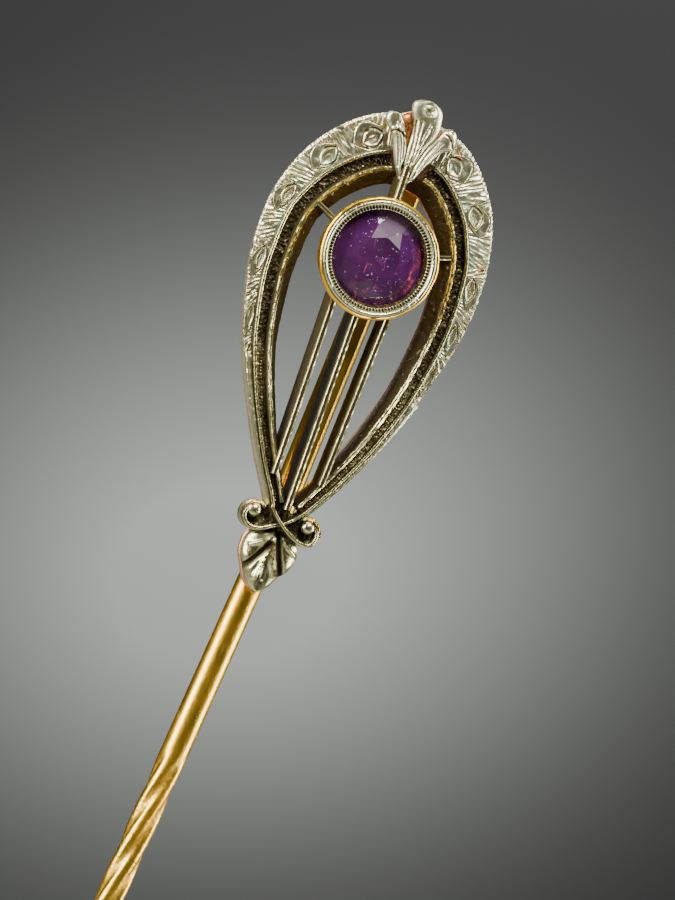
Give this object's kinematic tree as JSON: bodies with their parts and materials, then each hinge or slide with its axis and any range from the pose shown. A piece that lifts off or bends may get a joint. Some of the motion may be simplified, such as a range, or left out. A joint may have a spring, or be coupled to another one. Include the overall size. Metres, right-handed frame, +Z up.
{
  "type": "stick pin",
  "caption": "Stick pin with a pear-shaped openwork head, engraved border, round faceted stone in a milgrained collar, and a wire stem with a twisted grip.",
  "frame": {"origin": "on the stem's axis where the stem leaves the head, level with the lower tip of the palmette", "axes": "+Z up the head's middle from the palmette to the fleur, -Y the way the face looks, +X to the right as the face is seen"},
  "size_m": [0.0094, 0.0029, 0.064],
  "materials": {
    "white_metal": "worn polished white gold or platinum",
    "dark_recess": "stippled and darkened with age",
    "rose_gold": "polished rose gold",
    "yellow_gold": "polished yellow gold",
    "amethyst": "faceted purple stone"
  },
  "bodies": {
    "root": {"backing_plate": "rose_gold", "engraved_border": "white_metal", "left_lower_side": "white_metal", "right_lower_side": "white_metal", "left_rail": "white_metal", "right_rail": "white_metal", "left_channel_floor": "dark_recess", "right_channel_floor": "dark_recess", "left_inner_rail": "white_metal", "right_inner_rail": "white_metal", "gallery_wall": "dark_recess", "left_bar": "white_metal", "centre_bar": "white_metal", "right_bar": "white_metal", "left_stay": "white_metal", "right_stay": "white_metal", "top_stay": "white_metal", "bezel_cup": "yellow_gold", "bezel_rim": "white_metal", "stone_bearing": "yellow_gold", "amethyst": "amethyst", "fleur_left_petal": "white_metal", "fleur_centre_petal": "white_metal", "fleur_right_petal": "white_metal", "fleur_backing": "rose_gold", "foot_plate": "white_metal", "left_scroll_ball": "white_metal", "right_scroll_ball": "white_metal", "palmette": "white_metal", "palmette_backing": "rose_gold", "stem": "yellow_gold"}
  },
  "joints": []
}
